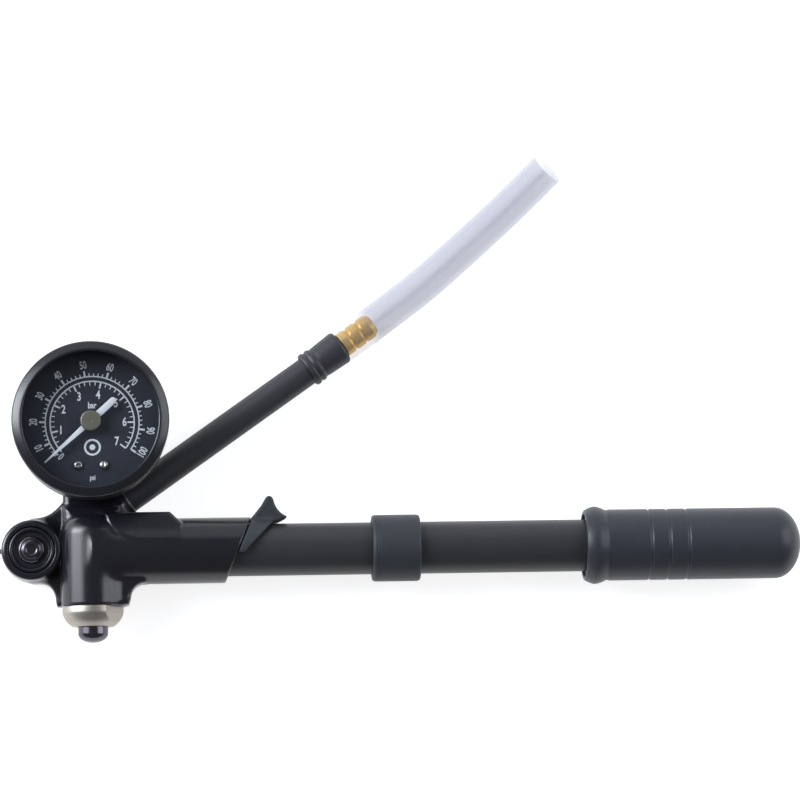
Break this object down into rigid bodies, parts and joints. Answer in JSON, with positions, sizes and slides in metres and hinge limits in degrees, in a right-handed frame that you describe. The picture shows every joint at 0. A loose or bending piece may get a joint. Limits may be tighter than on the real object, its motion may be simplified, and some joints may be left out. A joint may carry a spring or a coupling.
{
  "type": "shock suspension pump",
  "caption": "Compact high-pressure hand pump with a dial gauge, hose and clear tube, bleed button, hooked saddle and sliding barrel handle.",
  "frame": {"origin": "on the head's flat back pad, under the point where the column's axis crosses the barrel's axis", "axes": "+X along the barrel towards the handle, +Y from the barrel towards the gauge, +Z the way the gauge faces"},
  "size_m": [0.2515, 0.1537, 0.0332],
  "materials": {
    "gloss_black": "gloss",
    "satin_black": "satin",
    "matte_black": "matte",
    "grip": "matte",
    "rubber": "matte",
    "seal": "matte",
    "nickel": "satin",
    "dark_chrome": "gloss",
    "steel": "satin",
    "aluminium": "satin",
    "brass": "satin",
    "bronze": "satin",
    "dial": "matte",
    "white_print": "satin",
    "hub": "satin",
    "lens": "gloss",
    "clear_hose": "gloss"
  },
  "bodies": {
    "pump_body": {"barb_fitting": "brass", "barrel_gland": "brass", "barrel_seal": "seal", "barrel_tube": "satin_black", "bleed_nut": "nickel", "bleed_seat": "brass", "bleed_spring": "steel", "bourdon_tube": "bronze", "check_spring": "steel", "check_valve_body": "brass", "clear_tube": "clear_hose", "collar_band": "matte_black", "dial_plate": "dial", "dial_screw_1": "steel", "dial_screw_2": "steel", "gauge_bezel": "gloss_black", "gauge_case": "satin_black", "gauge_lens": "lens", "gauge_socket": "brass", "head_casting": "gloss_black", "hook_saddle": "matte_black", "hose": "rubber", "hose_boot": "rubber", "hose_nipple": "brass", "lug_cap": "gloss_black", "lug_screw": "dark_chrome", "movement_cover": "brass", "movement_frame": "brass", "rod_seal": "seal", "stem_washer": "seal"},
    "handle": {"handle_grip": "grip", "handle_core": "aluminium", "handle_plug": "aluminium", "piston_rod": "steel", "rod_nut": "steel", "piston": "brass", "piston_o_ring": "seal"},
    "bleed_button": {"bleed_button": "dark_chrome", "bleed_seal": "seal"},
    "sector": {"sector_gear": "brass"},
    "needle": {"pinion_arbor": "steel", "pointer": "white_print", "pointer_hub": "hub"},
    "poppet": {"check_poppet": "seal"}
  },
  "joints": [
    {"name": "handle_slide", "type": "slide", "parent": "pump_body", "child": "handle", "axis": [1, 0, 0], "range_m": [0, 0.14]},
    {"name": "bleed_press", "type": "slide", "parent": "pump_body", "child": "bleed_button", "axis": [0, 1, 0], "range_m": [0, 0.002], "stiffness_N_per_m": 600, "springref_m": -0.002, "deforming": ["bleed_spring"]},
    {"name": "sector_turn", "type": "hinge", "parent": "pump_body", "child": "sector", "pos_m": [-0.00789, 0.03673, 0.02], "axis": [0, 0, 1], "range_deg": [0, 42.83], "stiffness_Nm_per_rad": 0.005, "springref_deg": -2.86},
    {"name": "pointer_turn", "type": "hinge", "parent": "pump_body", "child": "needle", "pos_m": [0, 0.0396, 0.02], "axis": [0, 0, -1], "range_deg": [0, 257]},
    {"name": "check_lift", "type": "slide", "parent": "pump_body", "child": "poppet", "axis": [-1, 0, 0], "range_m": [0, 0.0015], "stiffness_N_per_m": 50, "springref_m": -0.001, "deforming": ["check_spring"]}
  ],
  "couplings": [
    {"joint": "pointer_turn", "follows": "sector_turn", "ratio": 6}
  ]
}
